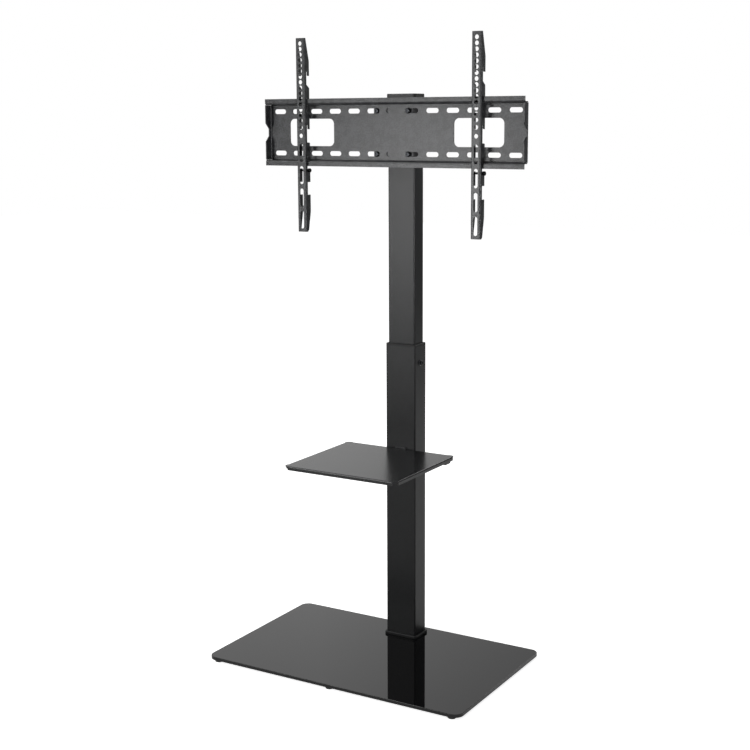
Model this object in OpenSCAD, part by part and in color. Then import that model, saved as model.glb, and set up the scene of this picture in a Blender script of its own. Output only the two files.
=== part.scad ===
// Free-standing television stand with a telescopic column, a shelf and a hook-on plate mount.
// The origin lies on the floor under the middle of the base, X to the right, Y to the back, Z up.

/* [Base] */
// Width of the glass foot plate
glass_w = 670; // [560:1:900]
// Depth of the glass foot plate
glass_d = 420; // [360:1:560]
// Thickness of the glass
glass_t = 8; // [5:0.5:12]
// Corner radius of the glass
glass_r = 22; // [6:1:60]
// Diameter of a rubber foot
foot_dia = 20; // [12:1:40]
// Height of a rubber foot
foot_h = 6; // [5.6:0.1:14]
// Distance of an outer foot's centre from the glass side edge
foot_inset_x = 24; // [21:1:60]
// Distance of a foot's centre from the front or rear edge of the glass
foot_inset_y = 14; // [14:1:60]

/* [Lower column] */
// Outside width of the outer tube
outer_w = 79.5; // [78:0.5:110]
// Outside depth of the outer tube
outer_d = 52.5; // [50.5:0.5:80]
// Wall of the outer tube
outer_wall = 2; // [1.5:0.1:2.4]
// Outside corner radius of the outer tube
outer_r = 3; // [3:0.5:8]
// Length of the outer tube
outer_len = 720; // [560:1:900]
// Distance from the glass rear edge to the column's centre
column_inset = 55.6; // [45:0.1:120]
// Distance from the top of the outer tube down to the lock screw
lock_drop = 40; // [20:1:50]

/* [Upper column] */
// Outside width of the inner tube
inner_w = 71.5; // [60:0.5:72]
// Outside depth of the inner tube
inner_d = 42; // [34:0.5:43.5]
// Wall of the inner tube
inner_wall = 2; // [1.5:0.1:3]
// Outside corner radius of the inner tube
inner_r = 3.5; // [2.5:0.5:6]
// Length of the inner tube
inner_len = 860; // [780:1:1000]
// Length of the inner tube that stands inside the outer one
inner_inside = 278; // [200:1:330]

/* [Wall plate] */
// Length of the wall plate
plate_len = 675.4; // [662:0.1:780]
// Height of the wall plate from lip to lip
plate_h = 155.3; // [150:0.1:180]
// Depth of the wall plate from the lip's front to the web's back
plate_d = 22.9; // [21:0.1:34]
// Sheet thickness of the wall plate
plate_t = 2.5; // [2:0.1:3]
// Height of a lip from the plate's ledge to its free edge
lip_h = 13.6; // [12:0.1:14]
// Distance from the top of the inner tube down to the plate's centre
plate_drop = 84.5; // [78:0.5:110]
// Length of a plate slot
slot_len = 32; // [20:1:42]
// Width of a plate slot
slot_w = 11; // [9:0.5:13]
// Distance between plate slots
slot_pitch = 51.3; // [48:0.1:52]
// Height of a slot row above or below the plate's centre
slot_row = 48.5; // [44:0.5:50]
// Slots on each side of the middle one
slot_side_count = 6; // [3:1:6]
// Width of a plate window
window_w = 123; // [60:1:130]
// Height of a plate window
window_h = 63; // [30:1:72]
// Corner radius of a plate window
window_r = 12; // [2:1:14]
// Distance from the plate's centre to a window's centre
window_x = 218.7; // [170:0.1:230]

/* [Arms] */
// Width of an arm
arm_w = 24; // [20:0.5:34]
// Depth of an arm
arm_d = 19.5; // [17:0.5:20]
// Sheet thickness of an arm
arm_t = 2; // [1.5:0.1:2.5]
// Length of an arm above its seat on the upper lip
arm_above = 137; // [130:1:180]
// Distance of the right arm's centre from the middle of the plate
arm_right_x = 226.2; // [110:0.1:290]
// Distance of the left arm's centre from the middle of the plate
arm_left_x = 230.6; // [110:0.1:290]
// Distance between the hooks of an arm
hook_pitch = 61; // [56:0.5:64]
// Diameter of a round hole in an arm
arm_hole_dia = 10; // [6:0.5:11]
// Distance between round holes in an arm
arm_hole_pitch = 12.5; // [12:0.5:14]
// Round holes in the upper row of an arm
arm_hole_count = 15; // [6:1:15]
// Length of a long slot in an arm
arm_slot_len = 42; // [24:1:46]
// Distance between long slots in an arm
arm_slot_pitch = 52.1; // [48:0.1:56]
// Long slots in an arm
arm_slot_count = 4; // [2:1:4]

/* [Shelf] */
// Width of the shelf
shelf_w = 296; // [240:0.1:420]
// Depth of the shelf
shelf_d = 276.5; // [240:0.5:300]
// Sheet thickness of the shelf
shelf_t = 2; // [1.5:0.1:3]
// Height of the shelf's rim
shelf_rim = 9; // [7:0.5:12]
// Corner radius of the shelf
shelf_r = 11; // [6:0.5:20]
// Height of the shelf's top above the floor
shelf_z = 488; // [200:1:560]

/* [Hidden] */

// Length by which every cut runs past the faces that it opens
overrun = 1;
// Gap between pieces that slide on each other
slide_gap = 0.3;
// Gap between pieces that are pushed together and stay
fit_gap = 0.1;
// Radial gap between a screw's thread and its threaded hole
thread_gap = 0.1;
// Facets of a round piece
$fn = 48;

// Screws: radius over the thread, head radius and head height of each size
m8_r = 4;
m8_hex_w = 5;
m8_hex_deep = 2.2;
low_head_r = 7;
low_head_h = 2.4;
low_hex_deep = 1.4;
m6_r = 3;
m6_head_r = 5.4;
m6_head_h = 3.2;
m6_hex_w = 4;
m6_hex_deep = 1.8;
m5_r = 2.5;
m5_head_r = 4.8;
m5_head_h = 2.6;
m5_hex_w = 3;
m5_hex_deep = 1.4;
// Edge break on a screw head
head_edge = 1;

// Base stack from the floor up
foot_edge_r = 2;
clamp_w = 130;
clamp_d = 54;
clamp_t = 2;
clamp_r = 6;
gasket_t = 1;
foot_plate_t = 6;
glass_edge = 1;
base_bolt_in_x = 12.5;
base_bolt_in_y = 11.5;
base_bolt_out = 4;
glass_hole_r = 6;
glass_z = foot_h;
glass_top = glass_z + glass_t;
clamp_z = glass_z - gasket_t - clamp_t;
column_z = glass_top + gasket_t;
column_y = glass_d / 2 - column_inset;

// Trim collar round the foot of the column
collar_band = 5;
collar_h = 7.3;
collar_edge = 1.8;
collar_foot_edge = 0.6;

// Telescopic column
outer_top = column_z + outer_len;
outer_in_w = outer_w - 2 * outer_wall;
outer_in_d = outer_d - 2 * outer_wall;
outer_in_r = outer_r - outer_wall;
base_bolt_x = outer_in_w / 2 - base_bolt_in_x;
base_bolt_y = outer_in_d / 2 - base_bolt_in_y;
column_front = column_y - outer_d / 2;
inner_z = outer_top - inner_inside;
inner_top = inner_z + inner_len;
inner_in_w = inner_w - 2 * inner_wall;
inner_in_d = inner_d - 2 * inner_wall;
inner_in_r = inner_r - inner_wall;
inner_front = column_y - inner_d / 2;
sleeve_band_h = 6;
sleeve_edge = 1.2;
sleeve_deep = 60;
lock_z = outer_top - lock_drop;
insert_r = 5.5;
insert_flange_r = 7;
insert_flange_t = 0.8;
lock_head_r = 6;
lock_head_h = 3.6;
guide_flange_h = 8;
guide_plug_h = 24;
guide_wall = 7.75;
guide_notch_side = 6.3;
cap_over = 2.75;
cap_skirt_h = 7;
cap_top_t = 2.5;
cap_edge = 1.2;
cap_plug_h = 16;
cap_plug_wall = 2;

// Wall plate
plate_bend = 2.4;
plate_bend_out = plate_bend + plate_t;
plate_z = inner_top - plate_drop;
spacer_d = 35.3;
spacer_w = 62;
spacer_h = 104;
spacer_wall = 2;
spacer_r = 4;
bracket_side = 11.5;
bracket_edge = 16.5;
bracket_d = 10.5;
bracket_t = 2.5;
collar_r = 4.8;
collar_len = 5;
plate_bolt_x = slot_pitch - (slot_len - slot_w) / 2;
bracket_w = 2 * (plate_bolt_x + bracket_side);
bracket_h = 2 * (slot_row + bracket_edge);
washer_r = 6.5;
washer_t = 1.6;
washer_gap = 0.25;
bolt_beyond = 0.8;
bracket_back = inner_front - spacer_d;
bracket_front = bracket_back - bracket_t;
web_back = bracket_front;
web_front = web_back - plate_t;
lip_front = web_back - plate_d;
lip_top = plate_z + plate_h / 2;
lip_bottom = plate_z - plate_h / 2;
ledge_in = plate_h / 2 - lip_h;
end_notch_in_w = 17;
end_notch_out_w = 43;
end_notch_deep = 13;
relief_w = 1.5;

// Arms: depths are counted from the arm's front face, heights from its seat on the lip
arm_bend = 1;
arm_bend_out = arm_bend + arm_t;
hook_recess = 8.1;
hook_slot_w = 4.4;
hook_slot_r = 1;
hang_gap = 0.4;
tooth_len = 9.4;
tooth_lead = 1.2;
recess_len = 20;
recess_slope = 8;
notch_over = 10;
notch_under = 6;
arm_top_depth = 6;
arm_top_taper = 52;
arm_end_depth = 7;
arm_end_round = 4.5;
arm_mid_depth = 11.5;
arm_bottom_taper = 47.6;
first_hole_drop = 12.4;
pair_hole_step = 16.1;
pair_hole_pitch = 19;
slot_row_step = 39.1;
arm_end_margin = 7.6;
pair_hole_drop = first_hole_drop + (arm_hole_count - 1) * arm_hole_pitch + pair_hole_step;
slot_row_drop = pair_hole_drop + pair_hole_pitch + slot_row_step;
last_slot_drop = slot_row_drop + (arm_slot_count - 1) * arm_slot_pitch;
arm_below = last_slot_drop + arm_slot_len / 2 + arm_end_margin - arm_above;
arm_front = lip_front - slide_gap - hook_recess;
seat_z = lip_top + hang_gap;
safety_depth = 12.2;
safety_drop = 10.1;
safety_r = m5_r;
safety_head_r = 4.8;
safety_head_h = 5.6;
safety_tip = 1.5;
safety_z = lip_bottom - safety_drop;
safety_y = arm_front + safety_depth;

// Shelf and its bracket
shelf_bend = 1;
shelf_bend_out = shelf_bend + shelf_t;
bracket_sheet = 2;
shelf_back = column_front - bracket_sheet;
rail_d = 25;
rail_h = 13.5;
rail_r = 3;
rail_wall = 1.5;
rail_cap_out = 3.5;
rail_end_gap = 1.6;
rail_w = shelf_w - 2 * (shelf_t + rail_end_gap + rail_cap_out);
rail_from_back = 27.4;
rail_z = shelf_z - shelf_t - rail_h;
rail_y = shelf_back - rail_from_back;
boss_r = 5;
boss_back = 62;
boss_front = 160;
shelf_bracket_side = 0.5;
shelf_bracket_w = outer_w - 2 * shelf_bracket_side;
shelf_bracket_h = 50;
shelf_bracket_reach = 182;
shelf_bracket_nose = 14;
shelf_bracket_flange = 18;
boss_x = (shelf_bracket_w - shelf_bracket_flange) / 2;
shelf_bracket_top = shelf_z - shelf_rim - slide_gap;
tongue_w = 30;
tongue_in = 2.2;
tongue_rise = 3;
tongue_slot_w = 33.4;
tongue_gap = 0.3;
shelf_screw_in = 5;
column_screw_x = 12;
column_screw_low = 13;
column_screw_high = 35;
column_collar_r = 4.6;
column_collar_len = 2;

// Colours
steel_black = "#2b2c2e";
steel_grey = "#3c3d3f";
plastic_black = "#18191a";
glass_black = "#0c0d0e";
rubber_black = "#141414";
zinc_grey = "#8d8f92";

// Flat rounded rectangle, centred
module rounded_rect(w, d, r) {
    square([w - 2 * r, d], center = true);
    square([w, d - 2 * r], center = true);
    for (sx = [-1, 1], sy = [-1, 1])
        translate([sx * (w / 2 - r), sy * (d / 2 - r)])
            circle(r = r);
}

// Upright slab with rounded corners and chamfered upper and lower edges
module bevel_slab(w, d, h, r, low, high) {
    side = concat(
        low > 0 ? [[-low, 0], [0, low]] : [[0, 0]],
        high > 0 ? [[0, h - high], [-high, h]] : [[0, h]]
    );
    mirrored = [for (i = [len(side) - 1:-1:0]) [-side[i][0], side[i][1]]];
    translate([w / 2 - r, 0, 0])
        rotate([90, 0, -90])
            linear_extrude(height = w - 2 * r)
                polygon(concat(
                    [for (p = side) [p[0] + d / 2, p[1]]],
                    [for (p = mirrored) [p[0] - d / 2, p[1]]]
                ));
    translate([0, d / 2 - r, 0])
        rotate([90, 0, 0])
            linear_extrude(height = d - 2 * r)
                polygon(concat(
                    [for (p = side) [p[0] + w / 2, p[1]]],
                    [for (p = mirrored) [p[0] - w / 2, p[1]]]
                ));
    for (sx = [-1, 1], sy = [-1, 1])
        translate([sx * (w / 2 - r), sy * (d / 2 - r), 0])
            rotate_extrude()
                polygon(concat([[0, 0]], [for (p = side) [p[0] + r, p[1]]], [[0, h]]));
}

// Rectangular tube standing on z = 0
module box_tube(w, d, r, wall, h) {
    linear_extrude(height = h)
        difference() {
            rounded_rect(w, d, r);
            rounded_rect(w - 2 * wall, d - 2 * wall, r - wall);
        }
}

// Flat slot with round ends, long side along X, centred
module slot_shape(length, width) {
    square([length - width, width], center = true);
    for (side = [-1, 1])
        translate([side * (length - width) / 2, 0])
            circle(d = width);
}

// Quarter of a bent sheet: inner radius, sheet, its corner at the origin, filling +X +Y
module bend_quarter(inside, sheet) {
    outside = inside + sheet;
    translate([outside, outside])
        intersection() {
            difference() {
                circle(r = outside);
                circle(r = inside);
            }
            translate([-outside, -outside])
                square([outside, outside]);
        }
}

// Socket screw along +Z: the head's seat lies on z = 0, the shank points down
module socket_screw(shank_r, shank_len, head_r, head_h, hex_w, hex_deep) {
    difference() {
        union() {
            translate([0, 0, -shank_len])
                cylinder(r = shank_r, h = shank_len + head_h / 2);
            rotate_extrude()
                polygon([
                    [0, 0],
                    [head_r, 0],
                    [head_r, head_h - head_edge],
                    [head_r - head_edge, head_h],
                    [0, head_h]
                ]);
        }
        translate([0, 0, head_h - hex_deep])
            cylinder(d = hex_w / cos(30), h = hex_deep + overrun, $fn = 6);
    }
}

// Places of the four base bolts
module at_base_bolts() {
    for (sx = [-1, 1], sy = [-1, 1])
        translate([sx * base_bolt_x, column_y + sy * base_bolt_y, 0])
            children();
}

// Places of the four plate bolts, on the plate's web, looking along +Y
module at_plate_bolts() {
    for (sx = [-1, 1], sz = [-1, 1])
        translate([sx * plate_bolt_x, 0, plate_z + sz * slot_row])
            children();
}

// Black glass foot plate with polished, chamfered edges
module base_glass() {
    color(glass_black)
        difference() {
            translate([0, 0, glass_z])
                bevel_slab(glass_w, glass_d, glass_t, glass_r, glass_edge, glass_edge);
            at_base_bolts()
                translate([0, 0, glass_z - overrun])
                    cylinder(r = glass_hole_r, h = glass_t + 2 * overrun);
        }
}

// Six rubber feet with a rounded lower edge
module base_feet() {
    foot_x = glass_w / 2 - foot_inset_x;
    foot_y = glass_d / 2 - foot_inset_y;
    color(rubber_black)
        for (x = [-foot_x, 0, foot_x], y = [-foot_y, foot_y])
            translate([x, y, 0])
                rotate_extrude()
                    union() {
                        square([foot_dia / 2 - foot_edge_r, foot_h]);
                        translate([0, foot_edge_r])
                            square([foot_dia / 2, foot_h - foot_edge_r]);
                        translate([foot_dia / 2 - foot_edge_r, foot_edge_r])
                            intersection() {
                                circle(r = foot_edge_r);
                                translate([0, -foot_edge_r])
                                    square([foot_edge_r, 2 * foot_edge_r]);
                            }
                    }
}

// Flat sheet of the base stack with the four bolt holes
module stack_sheet(w, d, r, z, t) {
    difference() {
        translate([0, column_y, z])
            linear_extrude(height = t)
                rounded_rect(w, d, r);
        at_base_bolts()
            translate([0, 0, z - overrun])
                cylinder(r = m8_r + thread_gap, h = t + 2 * overrun);
    }
}

// Steel plate under the glass
module clamp_plate() {
    color(steel_grey)
        stack_sheet(clamp_w, clamp_d, clamp_r, clamp_z, clamp_t);
}

// Rubber sheet between clamp plate and glass
module lower_gasket() {
    color(rubber_black)
        stack_sheet(clamp_w, clamp_d, clamp_r, clamp_z + clamp_t, gasket_t);
}

// Rubber sheet between glass and column
module upper_gasket() {
    color(rubber_black)
        stack_sheet(outer_w, outer_d, outer_r, glass_top, gasket_t);
}

// Four low-head bolts from below
module base_bolts() {
    color(zinc_grey)
        at_base_bolts()
            translate([0, 0, clamp_z])
                rotate([180, 0, 0])
                    socket_screw(
                        m8_r,
                        column_z - clamp_z + foot_plate_t + base_bolt_out,
                        low_head_r, low_head_h, m8_hex_w, low_hex_deep
                    );
}

// Threaded plate welded into the foot of the column
module foot_plate() {
    color(steel_grey)
        stack_sheet(
            outer_in_w - 2 * fit_gap, outer_in_d - 2 * fit_gap, outer_in_r,
            column_z, foot_plate_t
        );
}

// Trim collar that hides the joint between column and glass
module foot_collar() {
    hole_w = outer_w + 2 * fit_gap;
    hole_d = outer_d + 2 * fit_gap;
    color(plastic_black)
        translate([0, column_y, glass_top])
            difference() {
                bevel_slab(
                    outer_w + 2 * collar_band, outer_d + 2 * collar_band, collar_h,
                    outer_r + collar_band, collar_foot_edge, collar_edge
                );
                translate([0, 0, -overrun])
                    linear_extrude(height = collar_h + 2 * overrun)
                        rounded_rect(hole_w, hole_d, outer_r + fit_gap);
            }
}

// Places of the four screws that hold the shelf bracket, on the column's front
module at_column_screws() {
    for (sx = [-1, 1], up = [column_screw_low, column_screw_high])
        translate([
            sx * column_screw_x,
            column_front,
            shelf_bracket_top - shelf_bracket_h + up
        ])
            children();
}

// Outer tube with the shelf's tongue slot, threaded collars and the lock's hole
module lower_column() {
    color(steel_black)
        difference() {
            union() {
                translate([0, column_y, column_z])
                    box_tube(outer_w, outer_d, outer_r, outer_wall, outer_len);
                at_column_screws()
                    translate([0, outer_wall / 2, 0])
                        rotate([-90, 0, 0])
                            cylinder(r = column_collar_r, h = outer_wall / 2 + column_collar_len);
            }
            at_column_screws()
                translate([0, -overrun, 0])
                    rotate([-90, 0, 0])
                        cylinder(
                            r = m6_r + thread_gap,
                            h = outer_wall + column_collar_len + 2 * overrun
                        );
            translate([
                -tongue_slot_w / 2,
                column_front - overrun,
                shelf_z + tongue_rise - bracket_sheet - tongue_gap
            ])
                cube([
                    tongue_slot_w,
                    outer_wall + 2 * overrun,
                    bracket_sheet + 2 * tongue_gap
                ]);
            lock_bore(insert_r);
        }
}

// Cylinder along X through the right wall at the lock screw
module lock_bore(r) {
    translate([outer_w / 2 - outer_wall - overrun, column_y, lock_z])
        rotate([0, 90, 0])
            cylinder(r = r, h = outer_wall + 2 * overrun);
}

// Plastic sleeve that guides the inner tube in the outer one
module guide_sleeve() {
    skirt_w = outer_in_w - 2 * fit_gap;
    skirt_d = outer_in_d - 2 * fit_gap;
    color(plastic_black)
        translate([0, column_y, 0])
            difference() {
                union() {
                    translate([0, 0, outer_top])
                        bevel_slab(outer_w, outer_d, sleeve_band_h, outer_r, 0, sleeve_edge);
                    translate([0, 0, outer_top - sleeve_deep])
                        linear_extrude(height = sleeve_deep + sleeve_band_h / 2)
                            rounded_rect(skirt_w, skirt_d, outer_in_r);
                }
                translate([0, 0, outer_top - sleeve_deep - overrun])
                    linear_extrude(height = sleeve_deep + sleeve_band_h + 2 * overrun)
                        rounded_rect(
                            inner_w + 2 * slide_gap, inner_d + 2 * slide_gap,
                            inner_r + slide_gap
                        );
                translate([inner_w / 2 - overrun, 0, lock_z])
                    rotate([0, 90, 0])
                        cylinder(r = insert_r + fit_gap, h = outer_w / 2);
            }
}

// Threaded insert in the right wall of the outer tube
module lock_insert() {
    tip_x = inner_w / 2 + slide_gap;
    color(zinc_grey)
        translate([tip_x, column_y, lock_z])
            rotate([0, 90, 0])
                difference() {
                    union() {
                        cylinder(r = insert_r, h = outer_w / 2 - tip_x + insert_flange_t / 2);
                        translate([0, 0, outer_w / 2 - tip_x])
                            cylinder(r = insert_flange_r, h = insert_flange_t);
                    }
                    translate([0, 0, -overrun])
                        cylinder(r = m8_r + thread_gap, h = outer_w / 2);
                }
}

// Lock screw that clamps the inner tube
module lock_screw() {
    seat_x = outer_w / 2 + insert_flange_t + slide_gap;
    color(steel_grey)
        translate([seat_x, column_y, lock_z])
            rotate([0, 90, 0])
                socket_screw(
                    m8_r, seat_x - inner_w / 2 - slide_gap,
                    lock_head_r, lock_head_h, m8_hex_w, m8_hex_deep
                );
}

// Inner tube
module upper_column() {
    color(steel_black)
        translate([0, column_y, inner_z])
            box_tube(inner_w, inner_d, inner_r, inner_wall, inner_len);
}

// Guide plug in the lower end of the inner tube, notched to pass the shelf's tongue and screws
module lower_guide() {
    flange_w = outer_in_w - 2 * slide_gap;
    flange_d = outer_in_d - 2 * slide_gap;
    notch_w = tongue_slot_w + 2 * guide_notch_side;
    notch_d = (outer_in_d - inner_d) / 2;
    color(plastic_black)
        translate([0, column_y, inner_z])
            difference() {
                union() {
                    translate([0, 0, -guide_flange_h])
                        linear_extrude(height = guide_flange_h)
                            rounded_rect(flange_w, flange_d, outer_in_r);
                    translate([0, 0, -guide_flange_h / 2])
                        linear_extrude(height = guide_flange_h / 2 + guide_plug_h)
                            rounded_rect(
                                inner_in_w - 2 * fit_gap, inner_in_d - 2 * fit_gap, inner_in_r
                            );
                }
                translate([0, 0, -guide_flange_h - overrun])
                    linear_extrude(height = guide_flange_h + guide_plug_h + 2 * overrun)
                        rounded_rect(
                            inner_in_w - 2 * guide_wall, inner_in_d - 2 * guide_wall, inner_in_r
                        );
                translate([
                    -notch_w / 2,
                    -outer_in_d / 2 - overrun,
                    -guide_flange_h - overrun
                ])
                    cube([notch_w, notch_d + overrun, guide_flange_h + 2 * overrun]);
            }
}

// Cap on the upper end of the inner tube
module top_cap() {
    plug_w = inner_in_w - 2 * fit_gap;
    plug_d = inner_in_d - 2 * fit_gap;
    color(plastic_black)
        translate([0, column_y, inner_top])
            difference() {
                union() {
                    difference() {
                        translate([0, 0, -cap_skirt_h])
                            bevel_slab(
                                inner_w + 2 * cap_over, inner_d + 2 * cap_over,
                                cap_skirt_h + cap_top_t, inner_r + cap_over, 0, cap_edge
                            );
                        translate([0, 0, -cap_skirt_h - overrun])
                            linear_extrude(height = cap_skirt_h + overrun)
                                rounded_rect(
                                    inner_w + 2 * fit_gap, inner_d + 2 * fit_gap,
                                    inner_r + fit_gap
                                );
                    }
                    translate([0, 0, -cap_plug_h])
                        linear_extrude(height = cap_plug_h + cap_top_t / 2)
                            rounded_rect(plug_w, plug_d, inner_in_r);
                }
                translate([0, 0, -cap_plug_h - overrun])
                    linear_extrude(height = cap_plug_h + overrun)
                        square(
                            [plug_w - 2 * cap_plug_wall, plug_d - 2 * cap_plug_wall],
                            center = true
                        );
            }
}

// Short tube welded between the inner tube and the mount bracket
module bracket_spacer() {
    color(steel_black)
        translate([0, inner_front - spacer_d / 2, plate_z - spacer_h / 2])
            box_tube(spacer_w, spacer_d, spacer_r, spacer_wall, spacer_h);
}

// Folded channel that carries the wall plate, with four threaded collars
module mount_bracket() {
    bend_all = plate_bend + bracket_t;
    color(steel_black)
        difference() {
            union() {
                translate([0, bracket_front, plate_z - bracket_h / 2])
                    linear_extrude(height = bracket_h)
                        union() {
                            translate([-bracket_w / 2 + bend_all, 0])
                                square([bracket_w - 2 * bend_all, bracket_t]);
                            for (side = [0, 1])
                                mirror([side, 0])
                                    translate([-bracket_w / 2, 0])
                                        union() {
                                            bend_quarter(plate_bend, bracket_t);
                                            translate([0, bend_all])
                                                square([bracket_t, bracket_d - bend_all]);
                                        }
                        }
                at_plate_bolts()
                    translate([0, bracket_back - bracket_t / 2, 0])
                        rotate([-90, 0, 0])
                            cylinder(r = collar_r, h = bracket_t / 2 + collar_len);
            }
            at_plate_bolts()
                translate([0, bracket_front - overrun, 0])
                    rotate([-90, 0, 0])
                        cylinder(
                            r = m6_r + thread_gap,
                            h = bracket_t + collar_len + 2 * overrun
                        );
        }
}

// Upper half of the plate's section: X is the depth from the lip's front, Y the height
module half_hat() {
    translate([0, ledge_in + plate_bend_out])
        square([plate_t, lip_h - plate_bend_out]);
    translate([0, ledge_in])
        bend_quarter(plate_bend, plate_t);
    translate([plate_bend_out, ledge_in])
        square([plate_d - 2 * plate_bend_out, plate_t]);
    translate([plate_d, ledge_in + plate_t])
        mirror([1, 0])
            mirror([0, 1])
                bend_quarter(plate_bend, plate_t);
    translate([plate_d - plate_t, 0])
        square([plate_t, ledge_in + plate_t - plate_bend_out]);
}

// Whole section of the plate
module hat_section() {
    half_hat();
    mirror([0, 1])
        half_hat();
}

// Folded end of the plate: its section seen from above, for the end at +X
module end_fold() {
    translate([plate_len / 2, web_back])
        mirror([1, 0])
            mirror([0, 1])
                bend_quarter(plate_bend, plate_t);
    translate([plate_len / 2 - plate_t, lip_front])
        square([plate_t, plate_d - plate_bend_out]);
}

// Pressed hat-section plate with slots, windows and folded, notched ends
module wall_plate() {
    inside_h = 2 * ledge_in - 2 * slide_gap;
    relief_x = plate_len / 2 - plate_bend_out;
    color(steel_black)
        difference() {
            union() {
                difference() {
                    translate([-plate_len / 2, lip_front, plate_z])
                        rotate([90, 0, 90])
                            linear_extrude(height = plate_len)
                                hat_section();
                    for (side = [0, 1])
                        mirror([side, 0, 0])
                            translate([
                                relief_x,
                                web_back - plate_bend_out - relief_w,
                                plate_z - plate_h / 2
                            ])
                                cube([
                                    plate_bend_out + overrun,
                                    plate_bend_out + relief_w + overrun,
                                    plate_h
                                ]);
                }
                for (side = [0, 1])
                    mirror([side, 0, 0])
                        translate([0, 0, plate_z - inside_h / 2])
                            linear_extrude(height = inside_h)
                                end_fold();
            }
            translate([0, web_back + overrun, plate_z])
                rotate([90, 0, 0])
                    linear_extrude(height = plate_t + 2 * overrun)
                        plate_openings();
            translate([-plate_len / 2 - overrun, lip_front, plate_z])
                rotate([90, 0, 90])
                    linear_extrude(height = plate_len + 2 * overrun)
                        polygon([
                            [-overrun, -end_notch_out_w / 2],
                            [0, -end_notch_out_w / 2],
                            [end_notch_deep, -end_notch_in_w / 2],
                            [end_notch_deep, end_notch_in_w / 2],
                            [0, end_notch_out_w / 2],
                            [-overrun, end_notch_out_w / 2]
                        ]);
        }
}

// Slots and windows of the plate, seen from the front
module plate_openings() {
    for (i = [-slot_side_count:slot_side_count], side = [-1, 1])
        translate([i * slot_pitch, side * slot_row])
            slot_shape(slot_len, slot_w);
    for (side = [-1, 1])
        translate([side * window_x, 0])
            rounded_rect(window_w, window_h, window_r);
}

// Washers under the plate bolts
module plate_washers() {
    color(zinc_grey)
        at_plate_bolts()
            translate([0, web_front, 0])
                rotate([90, 0, 0])
                    difference() {
                        cylinder(r = washer_r, h = washer_t);
                        translate([0, 0, -overrun])
                            cylinder(r = m6_r + washer_gap, h = washer_t + 2 * overrun);
                    }
}

// Bolts that hold the plate on its bracket
module plate_bolts() {
    color(steel_grey)
        at_plate_bolts()
            translate([0, web_front - washer_t, 0])
                rotate([90, 0, 0])
                    socket_screw(
                        m6_r,
                        washer_t + plate_t + bracket_t + collar_len + bolt_beyond,
                        m6_head_r, m6_head_h, m6_hex_w, m6_hex_deep
                    );
}

// Folded section of an arm seen from above, front face on y = 0
module arm_section() {
    translate([-arm_w / 2 + arm_bend_out, 0])
        square([arm_w - 2 * arm_bend_out, arm_t]);
    for (side = [0, 1])
        mirror([side, 0])
            translate([-arm_w / 2, 0])
                union() {
                    bend_quarter(arm_bend, arm_t);
                    translate([0, arm_bend_out])
                        square([arm_t, arm_d - arm_bend_out]);
                }
}

// Side outline of an arm: X is the depth, Y the height above the seat
module arm_outline() {
    polygon([
        [-overrun, -arm_below],
        [arm_end_depth, -arm_below],
        [arm_mid_depth, -arm_below + arm_end_round],
        [arm_d, -arm_below + arm_bottom_taper],
        [arm_d, arm_above - arm_top_taper],
        [arm_top_depth, arm_above],
        [-overrun, arm_above]
    ]);
}

// Open space behind one hook, with its top at the seat: the slot for the lip and the recess below
module hook_space(recess_bottom, slope) {
    slot_back = hook_recess + hook_slot_w;
    past = arm_d + overrun;
    translate([hook_recess, -tooth_len - tooth_lead])
        square([hook_slot_w, tooth_len + tooth_lead - hook_slot_r]);
    translate([hook_recess + hook_slot_r, -tooth_len])
        square([hook_slot_w - 2 * hook_slot_r, tooth_len]);
    for (x = [hook_recess + hook_slot_r, slot_back - hook_slot_r])
        translate([x, -hook_slot_r])
            circle(r = hook_slot_r);
    polygon([
        [hook_recess, -tooth_len],
        [slot_back, -tooth_len + tooth_lead],
        [slot_back + tooth_lead, -tooth_len],
        [past, -tooth_len],
        [past, recess_bottom - slope],
        [arm_d, recess_bottom - slope],
        [hook_recess, recess_bottom]
    ]);
}

// Notch that passes the lower lip, at a given height above its place at rest
module lip_notch(up) {
    top = lip_bottom + lip_h + notch_over - seat_z;
    bottom = lip_bottom - notch_under - seat_z;
    translate([hook_recess, bottom + up])
        square([arm_d - hook_recess + overrun, top - bottom]);
}

// All that is cut from the rear edge of an arm
module arm_rear_cuts() {
    recess_bottom = -tooth_len - recess_len;
    low_bottom = lip_bottom - notch_under - seat_z + 2 * hook_pitch;
    for (up = [0, hook_pitch])
        translate([0, up])
            hook_space(recess_bottom, recess_slope);
    translate([0, -hook_pitch])
        hook_space(low_bottom, hook_slot_r);
    for (up = [0, -hook_pitch])
        lip_notch(up);
}

// Holes and long slots in an arm's front
module arm_front_cuts() {
    for (i = [0:arm_hole_count - 1])
        translate([0, arm_above - first_hole_drop - i * arm_hole_pitch])
            circle(d = arm_hole_dia);
    for (i = [0, 1])
        translate([0, arm_above - pair_hole_drop - i * pair_hole_pitch])
            circle(d = arm_hole_dia);
    for (i = [0:arm_slot_count - 1])
        translate([0, arm_above - slot_row_drop - i * arm_slot_pitch])
            rotate(90)
                slot_shape(arm_slot_len, arm_hole_dia);
}

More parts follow.
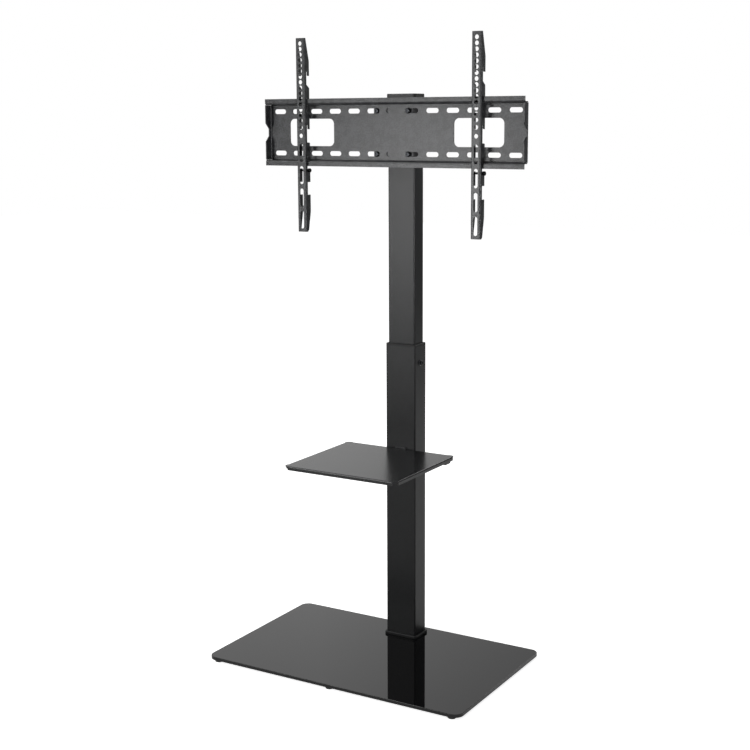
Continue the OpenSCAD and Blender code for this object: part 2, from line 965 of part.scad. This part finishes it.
// One arm, its centre line at x = 0 and its seat at z = 0
module arm() {
    difference() {
        intersection() {
            translate([0, 0, -arm_below])
                linear_extrude(height = arm_below + arm_above)
                    arm_section();
            translate([-arm_w / 2 - overrun, 0, 0])
                rotate([90, 0, 90])
                    linear_extrude(height = arm_w + 2 * overrun)
                        arm_outline();
        }
        translate([-arm_w / 2 - overrun, 0, 0])
            rotate([90, 0, 90])
                linear_extrude(height = arm_w + 2 * overrun)
                    arm_rear_cuts();
        translate([0, arm_t + overrun, 0])
            rotate([90, 0, 0])
                linear_extrude(height = arm_t + 2 * overrun)
                    arm_front_cuts();
        translate([-arm_w / 2 - overrun, safety_depth, safety_z - seat_z])
            rotate([0, 90, 0])
                cylinder(r = safety_r + thread_gap, h = arm_w + 2 * overrun);
    }
}

// Arm for the left side
module arm_left() {
    color(steel_black)
        translate([-arm_left_x, arm_front, seat_z])
            arm();
}

// Arm for the right side
module arm_right() {
    color(steel_black)
        translate([arm_right_x, arm_front, seat_z])
            arm();
}

// Safety screw across an arm whose centre line is at x
module safety_screw(x) {
    color(steel_grey)
        translate([x + arm_w / 2 + slide_gap, safety_y, safety_z])
            rotate([0, 90, 0])
                socket_screw(
                    safety_r, arm_w + slide_gap + safety_tip,
                    safety_head_r, safety_head_h, m5_hex_w, m5_hex_deep
                );
}

// Safety screw of the left arm
module safety_screw_left() {
    safety_screw(-arm_left_x);
}

// Safety screw of the right arm
module safety_screw_right() {
    safety_screw(arm_right_x);
}

// Folded edge of the shelf along X, its outer face on y = 0 and its top on z = 0
module shelf_edge(length) {
    translate([-length / 2, 0, 0])
        rotate([90, 0, 90])
            linear_extrude(height = length)
                union() {
                    translate([0, 0])
                        mirror([0, 1])
                            bend_quarter(shelf_bend, shelf_t);
                    translate([0, -shelf_rim])
                        square([shelf_t, shelf_rim - shelf_bend_out]);
                }
}

// Places of the four shelf screws, on the shelf's underside
module at_shelf_bosses() {
    for (sx = [-1, 1], in = [boss_back, boss_front])
        translate([sx * boss_x, shelf_back - in, 0])
            children();
}

// Folded sheet shelf with a rim and four threaded bosses
module shelf_panel() {
    shelf_mid = shelf_back - shelf_d / 2;
    boss_h = shelf_rim - shelf_t + slide_gap;
    color(steel_black)
        difference() {
            translate([0, shelf_mid, shelf_z])
                union() {
                    translate([0, 0, -shelf_t])
                        linear_extrude(height = shelf_t)
                            union() {
                                square(
                                    [shelf_w - 2 * shelf_bend_out, shelf_d - 2 * shelf_bend_out],
                                    center = true
                                );
                                for (sx = [-1, 1], sy = [-1, 1])
                                    translate([
                                        sx * (shelf_w / 2 - shelf_r),
                                        sy * (shelf_d / 2 - shelf_r)
                                    ])
                                        circle(r = shelf_r);
                            }
                    for (turn = [0, 180])
                        rotate([0, 0, turn])
                            translate([0, -shelf_d / 2, 0])
                                shelf_edge(shelf_w - 2 * shelf_r);
                    for (turn = [90, 270])
                        rotate([0, 0, turn])
                            translate([0, -shelf_w / 2, 0])
                                shelf_edge(shelf_d - 2 * shelf_r);
                    translate([0, -shelf_mid, -shelf_t - boss_h])
                        at_shelf_bosses()
                            cylinder(r = boss_r, h = boss_h + shelf_t / 2);
                }
            at_shelf_bosses()
                translate([0, 0, shelf_bracket_top - overrun])
                    cylinder(r = m5_r + thread_gap, h = shelf_screw_in + slide_gap + overrun);
        }
}

// Cross rail under the back of the shelf
module shelf_rail() {
    color(steel_black)
        translate([-rail_w / 2, rail_y, rail_z + rail_h / 2])
            rotate([90, 0, 90])
                linear_extrude(height = rail_w)
                    difference() {
                        rounded_rect(rail_d, rail_h, rail_r);
                        rounded_rect(
                            rail_d - 2 * rail_wall, rail_h - 2 * rail_wall, rail_r - rail_wall
                        );
                    }
}

// Rounded plastic caps in the ends of the rail
module rail_caps() {
    plug_d = rail_d - 2 * rail_wall - 2 * fit_gap;
    plug_h = rail_h - 2 * rail_wall - 2 * fit_gap;
    color(plastic_black)
        for (side = [0, 1])
            mirror([side, 0, 0])
                translate([rail_w / 2, rail_y, rail_z + rail_h / 2])
                    rotate([90, 0, 90])
                        union() {
                            translate([0, 0, -2 * rail_cap_out])
                                linear_extrude(height = 2.5 * rail_cap_out)
                                    rounded_rect(plug_d, plug_h, rail_r - rail_wall);
                            bevel_slab(
                                rail_d, rail_h, rail_cap_out, rail_r, 0,
                                rail_cap_out / 2
                            );
                        }
}

// Side outline of the shelf bracket: X is the distance in front of its back, Y the height
module bracket_side() {
    polygon([
        [0, -shelf_bracket_h],
        [bracket_sheet, -shelf_bracket_h],
        [shelf_bracket_reach, -shelf_bracket_nose],
        [shelf_bracket_reach, 0],
        [0, 0]
    ]);
}

// Folded bracket between column and shelf
module shelf_bracket() {
    rail_gap_d = rail_d + 2 * slide_gap;
    flange_len = shelf_bracket_reach - bracket_sheet;
    color(steel_black)
        difference() {
            union() {
                translate([-shelf_bracket_w / 2, shelf_back, shelf_bracket_top - shelf_bracket_h])
                    cube([shelf_bracket_w, bracket_sheet, shelf_bracket_h]);
                for (side = [0, 1])
                    mirror([side, 0, 0])
                        translate([shelf_bracket_w / 2 - bracket_sheet, column_front, shelf_bracket_top])
                            rotate([90, 0, 90])
                                mirror([1, 0])
                                    linear_extrude(height = bracket_sheet)
                                        bracket_side();
                for (side = [0, 1])
                    mirror([side, 0, 0])
                        translate([
                            shelf_bracket_w / 2 - shelf_bracket_flange,
                            shelf_back - flange_len,
                            shelf_bracket_top - bracket_sheet
                        ])
                            cube([shelf_bracket_flange, flange_len, bracket_sheet]);
                translate([-tongue_w / 2, shelf_back, shelf_bracket_top - bracket_sheet])
                    cube([
                        tongue_w, bracket_sheet,
                        shelf_z + tongue_rise - shelf_bracket_top + bracket_sheet
                    ]);
                translate([
                    -tongue_w / 2,
                    shelf_back,
                    shelf_z + tongue_rise - bracket_sheet
                ])
                    cube([
                        tongue_w,
                        bracket_sheet + outer_wall + tongue_in,
                        bracket_sheet
                    ]);
            }
            translate([
                -shelf_bracket_w / 2 - overrun,
                rail_y - rail_gap_d / 2,
                rail_z - slide_gap
            ])
                cube([
                    shelf_bracket_w + 2 * overrun,
                    rail_gap_d,
                    rail_h + slide_gap
                ]);
            at_shelf_bosses()
                translate([0, 0, shelf_bracket_top - bracket_sheet - overrun])
                    cylinder(r = m5_r + washer_gap, h = bracket_sheet + 2 * overrun);
            at_column_screws()
                translate([0, -bracket_sheet - overrun, 0])
                    rotate([-90, 0, 0])
                        cylinder(r = m6_r + washer_gap, h = bracket_sheet + 2 * overrun);
        }
}

// Screws from below through the bracket into the shelf's bosses
module shelf_screws() {
    color(zinc_grey)
        at_shelf_bosses()
            translate([0, 0, shelf_bracket_top - bracket_sheet])
                rotate([180, 0, 0])
                    socket_screw(
                        m5_r, bracket_sheet + shelf_screw_in,
                        m5_head_r, m5_head_h, m5_hex_w, m5_hex_deep
                    );
}

// Screws that hold the shelf bracket on the column
module bracket_screws() {
    color(zinc_grey)
        at_column_screws()
            translate([0, -bracket_sheet, 0])
                rotate([90, 0, 0])
                    socket_screw(
                        m6_r, bracket_sheet + outer_wall + column_collar_len,
                        m6_head_r, m6_head_h, m6_hex_w, m6_hex_deep
                    );
}

base_glass();
base_feet();
clamp_plate();
lower_gasket();
upper_gasket();
base_bolts();
foot_plate();
foot_collar();
lower_column();
guide_sleeve();
lock_insert();
lock_screw();
upper_column();
lower_guide();
top_cap();
bracket_spacer();
mount_bracket();
wall_plate();
plate_washers();
plate_bolts();
arm_left();
arm_right();
safety_screw_left();
safety_screw_right();
shelf_panel();
shelf_rail();
rail_caps();
shelf_bracket();
shelf_screws();
bracket_screws();
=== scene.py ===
"""Finish, light and camera for a free-standing television stand."""

import math

import bmesh
import bpy
from bpy.props import FloatProperty, FloatVectorProperty, PointerProperty
from mathutils import Matrix, Vector


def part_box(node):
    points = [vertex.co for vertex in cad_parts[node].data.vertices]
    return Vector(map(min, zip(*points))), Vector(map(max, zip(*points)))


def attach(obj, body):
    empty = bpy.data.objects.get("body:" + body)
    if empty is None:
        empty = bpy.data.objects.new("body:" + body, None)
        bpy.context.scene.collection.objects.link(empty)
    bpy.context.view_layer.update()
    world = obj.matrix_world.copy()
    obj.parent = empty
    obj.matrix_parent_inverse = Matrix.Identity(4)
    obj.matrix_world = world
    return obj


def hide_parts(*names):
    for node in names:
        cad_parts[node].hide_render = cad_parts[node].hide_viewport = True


bl_info = {
    "name": "Television Stand Finish",
    "version": (1, 0, 0),
    "blender": (4, 5, 0),
    "location": "View3D > Sidebar > Stand",
    "description": "Finishes, lights and frames a free-standing television stand",
    "category": "Object",
}

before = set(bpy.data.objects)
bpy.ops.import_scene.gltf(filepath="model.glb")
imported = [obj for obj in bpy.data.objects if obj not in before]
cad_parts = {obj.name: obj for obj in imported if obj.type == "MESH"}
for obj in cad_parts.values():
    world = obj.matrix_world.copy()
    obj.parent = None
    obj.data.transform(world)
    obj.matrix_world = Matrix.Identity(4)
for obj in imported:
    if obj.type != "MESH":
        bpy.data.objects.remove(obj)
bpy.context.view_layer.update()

MM = 0.001
WHITE = (1.0, 1.0, 1.0, 1.0)

# Colour sockets of a mix node: its two inputs and its result
MIX_A, MIX_B, MIX_RESULT = 6, 7, 2

# Share of the wide patches in a surface's spots, and the noise values between its two tones
PATCH_SHARE = 0.33
SPOT_LOW, SPOT_HIGH = 0.44, 0.56

# Points along a weld for each bead radius of length, and points from one ripple to the next
WELD_POINTS = 3
RIPPLE_POINTS = 7


def linear(hex_colour):
    """Linear RGB of an sRGB colour written as six hex digits."""
    channels = [int(hex_colour[i : i + 2], 16) / 255 for i in (0, 2, 4)]
    return tuple(
        c / 12.92 if c <= 0.04045 else ((c + 0.055) / 1.055) ** 2.4 for c in channels
    )


def length_prop(name, description, millimetres):
    """Property for a length, given in millimetres and kept in metres."""
    return FloatProperty(
        name=name, description=description, default=millimetres * MM, min=0,
        unit="LENGTH", precision=5,
    )


def colour_prop(name, description, hex_colour):
    """Property for a colour, given as sRGB hex."""
    return FloatVectorProperty(
        name=name, description=description, default=linear(hex_colour), min=0, max=1,
        subtype="COLOR",
    )


class StandSizes(bpy.types.PropertyGroup):
    """Lengths that a user would change."""

    glass_corner: length_prop("Glass corner", "Corner radius of the glass foot", 22)
    glass_edge: length_prop("Glass edge", "Radius of the glass's polished edge", 0.9)
    weld_radius: length_prop("Weld radius", "Radius of the beads at the spacer", 2)
    coat_grain: length_prop("Coat grain", "Spacing of the textured coat's grain", 3.2)
    coat_patch: length_prop("Coat patches", "Spacing of the textured coat's patches", 14)
    satin_peel: length_prop("Satin peel", "Spacing of the satin coat's orange peel", 3.0)
    moulded_grain: length_prop("Moulded grain", "Spacing of plastic and rubber grain", 1.2)
    turning_marks: length_prop("Turning marks", "Spacing of the marks on screws", 0.8)
    glass_wave: length_prop("Glass wave", "Spacing of the wipe marks on the glass", 170)


class StandColours(bpy.types.PropertyGroup):
    """Colours that a user would change."""

    coat: colour_prop("Textured coat", "Powder coat of the plate and its arms", "292A2C")
    satin: colour_prop("Satin coat", "Powder coat of the tubes and the shelf", "121314")
    plastic: colour_prop("Moulded plastic", "Collar, sleeve, guide and caps", "0F0F10")
    rubber: colour_prop("Rubber", "Feet and gaskets", "181818")
    glass: colour_prop("Back-painted glass", "Glass foot", "060607")
    blackened: colour_prop("Blackened steel", "Washers and safety screws", "121213")
    chrome: colour_prop("Black chrome", "Lock screw and plate bolts", "292A2C")
    zinc: colour_prop("Zinc plating", "Screws and insert out of sight", "A6A8AB")
    floor: colour_prop("Floor", "Studio floor", "F4F4F4")


def sizes():
    """Lengths of this scene."""
    return bpy.context.scene.stand_sizes


def colours():
    """Colours of this scene."""
    return bpy.context.scene.stand_colours


def rgba(colour):
    """Colour with full opacity."""
    return (*colour[:3], 1.0)


def put(tree, kind, inputs=(), **settings):
    """Adds a node, sets its settings, and fills its inputs with values or links."""
    node = tree.nodes.new(kind)
    for name, value in settings.items():
        setattr(node, name, value)
    for name, value in dict(inputs).items():
        if isinstance(value, bpy.types.NodeSocket):
            tree.links.new(value, node.inputs[name])
        else:
            node.inputs[name].default_value = value
    return node


def new_material(name):
    """Empty node material, its tree and its output."""
    material = bpy.data.materials.new(name)
    material.use_nodes = True
    tree = material.node_tree
    tree.nodes.clear()
    return material, tree, put(tree, "ShaderNodeOutputMaterial")


def grained(name, colour, shade, spacing, patches, rough, relief, **sockets):
    """Material whose tone, roughness and relief follow one grain, with wider patches of tone.

    The darker tone is the colour times shade. Grain and patches have their spacing in metres.
    The roughness runs between the two values of rough, and relief holds the strength of the
    grain and its height in millimetres.
    """
    material, tree, output = new_material(name)
    place = put(tree, "ShaderNodeTexCoord").outputs["Object"]
    grain = put(
        tree, "ShaderNodeTexNoise",
        {"Vector": place, "Scale": 1 / spacing, "Detail": 3.0, "Roughness": 0.6},
    ).outputs["Fac"]
    patch = put(
        tree, "ShaderNodeTexNoise", {"Vector": place, "Scale": 1 / patches, "Detail": 1.0}
    ).outputs["Fac"]
    spots = put(
        tree, "ShaderNodeMix", {"Factor": PATCH_SHARE, "A": grain, "B": patch}
    ).outputs["Result"]
    spread = put(
        tree, "ShaderNodeMapRange",
        {"Value": spots, "From Min": SPOT_LOW, "From Max": SPOT_HIGH},
    ).outputs["Result"]
    dark = tuple(c * shade for c in colour[:3])
    tone = put(
        tree, "ShaderNodeMix",
        {"Factor": spread, MIX_A: rgba(dark), MIX_B: rgba(colour)}, data_type="RGBA",
    ).outputs[MIX_RESULT]
    roughness = put(
        tree, "ShaderNodeMapRange", {"Value": grain, "To Min": rough[0], "To Max": rough[1]}
    ).outputs["Result"]
    strength, height = relief
    normal = put(
        tree, "ShaderNodeBump",
        {"Height": grain, "Strength": strength, "Distance": height * MM},
    ).outputs["Normal"]
    surface = {"Base Color": tone, "Roughness": roughness, "Normal": normal}
    shader = put(tree, "ShaderNodeBsdfPrincipled", {**surface, **sockets})
    tree.links.new(shader.outputs[0], output.inputs["Surface"])
    return material


def textured_coat():
    """Epoxy powder coat with a leathery grain on pressed steel: matt speckle under a sheen."""
    # The real grain is near 0.5 mm, too fine to show, so it is drawn six times as coarse.
    return grained(
        "textured powder coat", colours().coat, shade=0.22, spacing=sizes().coat_grain,
        patches=sizes().coat_patch, rough=(0.27, 0.37), relief=(0.5, 0.3), IOR=1.36,
    )


def satin_coat(name, ior, rough):
    """Epoxy powder coat sprayed smooth: near black, slight orange peel and a satin sheen."""
    peel = sizes().satin_peel
    return grained(
        name, colours().satin, shade=0.75, spacing=peel, patches=12 * peel, rough=rough,
        relief=(0.2, 0.15), IOR=ior,
    )


def moulded_plastic(name, ior, rough):
    """Plastic moulded in a spark-eroded tool: black with an even dull grain."""
    # The real grain is near 0.1 mm, too fine to show, so it is drawn ten times as coarse.
    grain = sizes().moulded_grain
    return grained(
        name, colours().plastic, shade=0.7, spacing=grain, patches=10 * grain, rough=rough,
        relief=(0.2, 0.1), IOR=ior,
    )


def moulded_rubber():
    """Nitrile rubber from a blasted mould: dull black with hardly any sheen."""
    # The real grain is near 0.1 mm, too fine to show, so it is drawn ten times as coarse.
    grain = sizes().moulded_grain
    return grained(
        "moulded nitrile rubber", colours().rubber, shade=0.65, spacing=grain,
        patches=10 * grain, rough=(0.7, 0.9), relief=(0.3, 0.1), IOR=1.48,
    )


def painted_glass():
    """Toughened glass painted black on its back: deep black that mirrors the room."""
    wave = sizes().glass_wave
    return grained(
        "back-painted toughened glass", colours().glass, shade=0.8, spacing=wave,
        patches=2 * wave, rough=(0.02, 0.05), relief=(0.0, 0.1), IOR=1.375,
    )


def plated_steel(name, colour, rough):
    """Turned and plated steel: dark or bright metal broken up by fine turning marks."""
    # The real marks are near 0.1 mm apart, too fine to show, so they are eight times as wide.
    marks = sizes().turning_marks
    return grained(
        name, colour, shade=0.85, spacing=marks, patches=4 * marks, rough=rough,
        relief=(0.1, 0.05), Metallic=1.0,
    )


def finish_nodes(names, material):
    """Gives CAD nodes one material."""
    for name in names:
        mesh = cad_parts[name].data
        mesh.materials.clear()
        mesh.materials.append(material)


def mesh_piece(name, form, material, sharp=math.radians(30), flat_over=math.inf):
    """Object made of a bmesh, smooth but for edges over an angle and faces over an area."""
    for face in form.faces:
        face.smooth = face.calc_area() < flat_over
    for edge in form.edges:
        edge.smooth = len(edge.link_faces) == 2 and edge.calc_face_angle() < sharp
    mesh = bpy.data.meshes.new(name)
    form.to_mesh(mesh)
    form.free()
    mesh.materials.append(material)
    piece = bpy.data.objects.new(name, mesh)
    bpy.context.scene.collection.objects.link(piece)
    return piece


def weld_bead(form, x, y, low, high, radius):
    """Upright weld bead with even ripples and a slower swell, as shares of its radius."""
    count = int((high - low) / radius * WELD_POINTS)
    profile = [form.verts.new((x, y, low))]
    for i in range(count + 1):
        phase = 2 * math.pi * i / RIPPLE_POINTS
        swell = 1 + 0.14 * math.sin(phase) + 0.05 * math.sin(0.37 * phase)
        height = low + (high - low) * i / count
        profile.append(form.verts.new((x + radius * swell, y, height)))
    profile.append(form.verts.new((x, y, high)))
    edges = [form.edges.new(pair) for pair in zip(profile, profile[1:])]
    bmesh.ops.spin(
        form, geom=profile + edges, cent=(x, y, 0), axis=(0, 0, 1), angle=2 * math.pi,
        steps=12, use_merge=True,
    )


class STAND_OT_textured_steel(bpy.types.Operator):
    """Coats the pressed steel pieces"""

    bl_idname = "stand.textured_steel"
    bl_label = "Textured steel"

    def execute(self, context):
        names = ("wall_plate", "arm_left", "arm_right", "mount_bracket")
        names += ("shelf_rail", "shelf_bracket", "clamp_plate", "foot_plate")
        finish_nodes(names, textured_coat())
        return {"FINISHED"}


class STAND_OT_column_tubes(bpy.types.Operator):
    """Coats the column and the shelf, and lays the welds of the plate's spacer"""

    bl_idname = "stand.column_tubes"
    bl_label = "Column, shelf and welds"

    def execute(self, context):
        tube = satin_coat("satin powder coat on tube", ior=1.3, rough=(0.28, 0.4))
        sheet = satin_coat("satin powder coat on sheet", ior=1.37, rough=(0.2, 0.3))
        finish_nodes(("lower_column", "upper_column", "bracket_spacer"), tube)
        finish_nodes(("shelf_panel",), sheet)
        low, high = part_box("bracket_spacer")
        bead = sizes().weld_radius
        form = bmesh.new()
        for x in (low.x, high.x):
            for y in (low.y + bead / 2, high.y - bead / 2):
                weld_bead(form, x, y, low.z + bead, high.z - bead, bead)
        welds = mesh_piece("spacer_welds", form, tube, sharp=math.radians(60))
        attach(welds, "upper")
        return {"FINISHED"}


class STAND_OT_plastic_trim(bpy.types.Operator):
    """Finishes the moulded plastic pieces"""

    bl_idname = "stand.plastic_trim"
    bl_label = "Plastic trim"

    def execute(self, context):
        caps = moulded_plastic("moulded ABS", ior=1.45, rough=(0.34, 0.46))
        guides = moulded_plastic("moulded nylon", ior=1.31, rough=(0.45, 0.6))
        finish_nodes(("top_cap", "rail_caps"), caps)
        finish_nodes(("foot_collar", "guide_sleeve", "lower_guide"), guides)
        return {"FINISHED"}


class STAND_OT_rubber_parts(bpy.types.Operator):
    """Finishes the feet and gaskets"""

    bl_idname = "stand.rubber_parts"
    bl_label = "Rubber parts"

    def execute(self, context):
        finish_nodes(("base_feet", "lower_gasket", "upper_gasket"), moulded_rubber())
        return {"FINISHED"}


class STAND_OT_fasteners(bpy.types.Operator):
    """Finishes the screws, washers and the threaded insert"""

    bl_idname = "stand.fasteners"
    bl_label = "Fasteners"

    def execute(self, context):
        black = plated_steel("blackened steel", colours().blackened, rough=(0.3, 0.45))
        chrome = plated_steel("black chrome steel", colours().chrome, rough=(0.3, 0.4))
        zinc = plated_steel("zinc-plated steel", colours().zinc, rough=(0.25, 0.4))
        finish_nodes(("plate_washers", "safety_screw_left", "safety_screw_right"), black)
        finish_nodes(("lock_screw", "plate_bolts"), chrome)
        names = ("base_bolts", "lock_insert", "shelf_screws", "bracket_screws")
        finish_nodes(names, zinc)
        return {"FINISHED"}


class STAND_OT_glass_foot(bpy.types.Operator):
    """Models the glass foot with its rounded corners and polished edge"""

    bl_idname = "stand.glass_foot"
    bl_label = "Glass foot"

    def execute(self, context):
        low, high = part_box("base_glass")
        form = bmesh.new()
        bmesh.ops.create_cube(form, size=1.0)
        bmesh.ops.scale(form, vec=high - low, verts=form.verts)
        bmesh.ops.translate(form, vec=(low + high) / 2, verts=form.verts)
        upright = [e for e in form.edges if self.rise(e) > MM]
        self.round_edges(form, upright, sizes().glass_corner, segments=16)
        rims = [
            e for e in form.edges
            if self.rise(e) < 0.01 * MM and len(e.link_faces) == 2
            and e.calc_face_angle() > math.radians(60)
        ]
        self.round_edges(form, rims, sizes().glass_edge, segments=6)
        glass = mesh_piece("glass_panel", form, painted_glass(), flat_over=0.1)
        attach(glass, "root")
        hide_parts("base_glass")
        return {"FINISHED"}

    def rise(self, edge):
        """Difference in height between the ends of an edge."""
        start, end = edge.verts
        return abs((start.co - end.co).z)

    def round_edges(self, form, edges, radius, segments):
        """Rounds edges to a radius."""
        bmesh.ops.bevel(
            form, geom=edges, offset=radius, segments=segments, profile=0.5,
            affect="EDGES", material=-1,
        )


def world_light(level):
    """White surroundings for the eye and for reflections, a softer level for other light."""
    world = bpy.data.worlds.new("studio")
    bpy.context.scene.world = world
    world.use_nodes = True
    tree = world.node_tree
    tree.nodes.clear()
    output = put(tree, "ShaderNodeOutputWorld")
    path = put(tree, "ShaderNodeLightPath")
    seen = put(
        tree, "ShaderNodeMath",
        {0: path.outputs["Is Camera Ray"], 1: path.outputs["Is Glossy Ray"]},
        operation="MAXIMUM",
    ).outputs[0]
    seen = put(
        tree, "ShaderNodeMath", {0: seen, 1: path.outputs["Is Transmission Ray"]},
        operation="MAXIMUM",
    ).outputs[0]
    strength = put(
        tree, "ShaderNodeMapRange", {"Value": seen, "To Min": level, "To Max": 1.0}
    ).outputs["Result"]
    shader = put(tree, "ShaderNodeBackground", {"Color": WHITE, "Strength": strength})
    tree.links.new(shader.outputs[0], output.inputs["Surface"])


def floor_material(seen, mirrored):
    """Matt white studio floor, lifted to white for the eye and less for reflections."""
    material, tree, output = new_material("studio floor")
    path = put(tree, "ShaderNodeLightPath")
    bounce = put(
        tree, "ShaderNodeMath",
        {0: path.outputs["Is Glossy Ray"], 1: path.outputs["Is Transmission Ray"]},
        operation="MAXIMUM",
    ).outputs[0]
    bounce = put(
        tree, "ShaderNodeMath", {0: bounce, 1: mirrored}, operation="MULTIPLY"
    ).outputs[0]
    direct = put(
        tree, "ShaderNodeMath", {0: path.outputs["Is Camera Ray"], 1: seen},
        operation="MULTIPLY",
    ).outputs[0]
    lift = put(
        tree, "ShaderNodeMath", {0: direct, 1: bounce}, operation="MAXIMUM"
    ).outputs[0]
    shader = put(
        tree, "ShaderNodeBsdfPrincipled",
        {
            "Base Color": rgba(colours().floor), "Roughness": 1.0,
            "Specular IOR Level": 0.0, "Emission Color": WHITE, "Emission Strength": lift,
        },
    )
    tree.links.new(shader.outputs[0], output.inputs["Surface"])
    return material


def reflection_glow_card(width, height, depth, white_at, grey_at, grey):
    """Glowing card behind the stand that only reflections see: painted reflection, white at
    left and grey at right.
    """
    form = bmesh.new()
    bmesh.ops.create_grid(form, x_segments=1, y_segments=1, size=0.5)
    bmesh.ops.scale(form, vec=(width, height, 1), verts=form.verts)
    upright = Matrix.Rotation(math.radians(90), 3, "X")
    bmesh.ops.rotate(form, cent=(0, 0, 0), matrix=upright, verts=form.verts)
    bmesh.ops.translate(form, vec=(0, depth, height / 2), verts=form.verts)
    material, tree, output = new_material("reflection glow card")
    place = put(tree, "ShaderNodeTexCoord").outputs["Object"]
    across = put(tree, "ShaderNodeSeparateXYZ", {"Vector": place}).outputs["X"]
    level = put(
        tree, "ShaderNodeMapRange",
        {
            "Value": across, "From Min": white_at, "From Max": grey_at,
            "To Min": 1.0, "To Max": grey,
        },
    ).outputs["Result"]
    # Painted reflection: the card glows though it is no lamp. Glossy rays see it, and it is
    # clear to all other rays.
    glow = put(tree, "ShaderNodeEmission", {"Color": WHITE, "Strength": level}).outputs[0]
    clear = put(tree, "ShaderNodeBsdfTransparent").outputs[0]
    mirrored = put(tree, "ShaderNodeLightPath").outputs["Is Glossy Ray"]
    shader = put(tree, "ShaderNodeMixShader", {0: mirrored, 1: clear, 2: glow})
    tree.links.new(shader.outputs[0], output.inputs["Surface"])
    return mesh_piece("reflection_glow_card", form, material)


def area_lamp(name, place, aim, width, height, power, spread):
    """Softbox that shines from a place to an aim, with its spread in degrees."""
    lamp = bpy.data.lights.new(name, "AREA")
    lamp.shape = "RECTANGLE"
    lamp.size = width
    lamp.size_y = height
    lamp.energy = power
    lamp.spread = math.radians(spread)
    holder = bpy.data.objects.new(name, lamp)
    holder.location = place
    holder.rotation_mode = "QUATERNION"
    holder.rotation_quaternion = (Vector(aim) - Vector(place)).to_track_quat("-Z", "Y")
    bpy.context.scene.collection.objects.link(holder)


class STAND_OT_stage(bpy.types.Operator):
    """Sets up floor, light and camera"""

    bl_idname = "stand.stage"
    bl_label = "Stage"

    floor_half = 12.0
    camera_lens = 65.695
    camera_azimuth = math.radians(30.84993)
    camera_pitch = math.radians(10.64274)
    camera_roll = math.radians(-0.29884)
    camera_place = Vector((1.58283, -2.63958, 1.26554))

    # Name, place, aim, width, height, power and spread of each softbox, in metres, watts and
    # degrees. The low one gives the sheen on the column and the plate, and the edge one the
    # bright line along the folds.
    softboxes = (
        ("key softbox", (-2.1, -2.7, 3.2), (0, 0, 0.9), 1.8, 1.8, 80, 180),
        ("low softbox", (-1.46, -2.9, 0.92), (0.1, 0.1, 1.2), 0.84, 0.84, 4.2, 60),
        ("rear softbox", (-0.2, 3.4, 1.7), (0, 0, 1.0), 1.6, 1.4, 24, 180),
        ("edge softbox", (3.1, -1.85, 0.6), (0, 0.05, 1.3), 0.5, 0.5, 1.3, 18),
    )

    def execute(self, context):
        form = bmesh.new()
        bmesh.ops.create_grid(form, x_segments=1, y_segments=1, size=self.floor_half)
        material = floor_material(seen=0.86, mirrored=0.45)
        floor = mesh_piece("studio_floor", form, material)
        # Glowing card that paints the reflection on the steel, brighter at left than at right
        painted_reflection_card = reflection_glow_card(
            width=10.0, height=4.6, depth=4.0, white_at=-2.8, grey_at=0.4, grey=0.24
        )
        world_light(level=0.26)
        for softbox in self.softboxes:
            area_lamp(*softbox)
        self.place_camera(context)
        context.scene.view_settings.view_transform = "Standard"
        return {"FINISHED"}

    def place_camera(self, context):
        """Camera with the photograph's place, direction and slight roll."""
        azimuth, pitch, roll = self.camera_azimuth, self.camera_pitch, self.camera_roll
        ahead = Vector((
            -math.sin(azimuth) * math.cos(pitch),
            math.cos(azimuth) * math.cos(pitch),
            -math.sin(pitch),
        ))
        level_right = Vector((math.cos(azimuth), math.sin(azimuth), 0))
        level_up = level_right.cross(ahead)
        right = level_right * math.cos(roll) + level_up * math.sin(roll)
        up = level_up * math.cos(roll) - level_right * math.sin(roll)
        turn = Matrix((right, up, -ahead)).transposed().to_4x4()
        camera = bpy.data.cameras.new("camera")
        camera.lens = self.camera_lens
        camera.sensor_width = 36
        camera.clip_end = 100
        holder = bpy.data.objects.new("camera", camera)
        holder.matrix_world = Matrix.Translation(self.camera_place) @ turn
        context.scene.collection.objects.link(holder)
        context.scene.camera = holder


class STAND_PT_panel(bpy.types.Panel):
    """Sidebar panel with the stand's sizes, colours and steps"""

    bl_idname = "STAND_PT_panel"
    bl_label = "Television stand"
    bl_space_type = "VIEW_3D"
    bl_region_type = "UI"
    bl_category = "Stand"

    def draw(self, context):
        for group in (context.scene.stand_sizes, context.scene.stand_colours):
            box = self.layout.box()
            for name in group.__annotations__:
                box.prop(group, name)
        for step in STEPS:
            self.layout.operator(step.bl_idname)


STEPS = (
    STAND_OT_textured_steel,
    STAND_OT_column_tubes,
    STAND_OT_plastic_trim,
    STAND_OT_rubber_parts,
    STAND_OT_fasteners,
    STAND_OT_glass_foot,
    STAND_OT_stage,
)
CLASSES = (StandSizes, StandColours, *STEPS, STAND_PT_panel)


def register():
    for cls in CLASSES:
        bpy.utils.register_class(cls)
    bpy.types.Scene.stand_sizes = PointerProperty(type=StandSizes)
    bpy.types.Scene.stand_colours = PointerProperty(type=StandColours)


def unregister():
    del bpy.types.Scene.stand_colours
    del bpy.types.Scene.stand_sizes
    for cls in reversed(CLASSES):
        bpy.utils.unregister_class(cls)


def main():
    register()
    bpy.ops.stand.textured_steel()
    bpy.ops.stand.column_tubes()
    bpy.ops.stand.plastic_trim()
    bpy.ops.stand.rubber_parts()
    bpy.ops.stand.fasteners()
    bpy.ops.stand.glass_foot()
    bpy.ops.stand.stage()


if __name__ == "__main__":
    main()
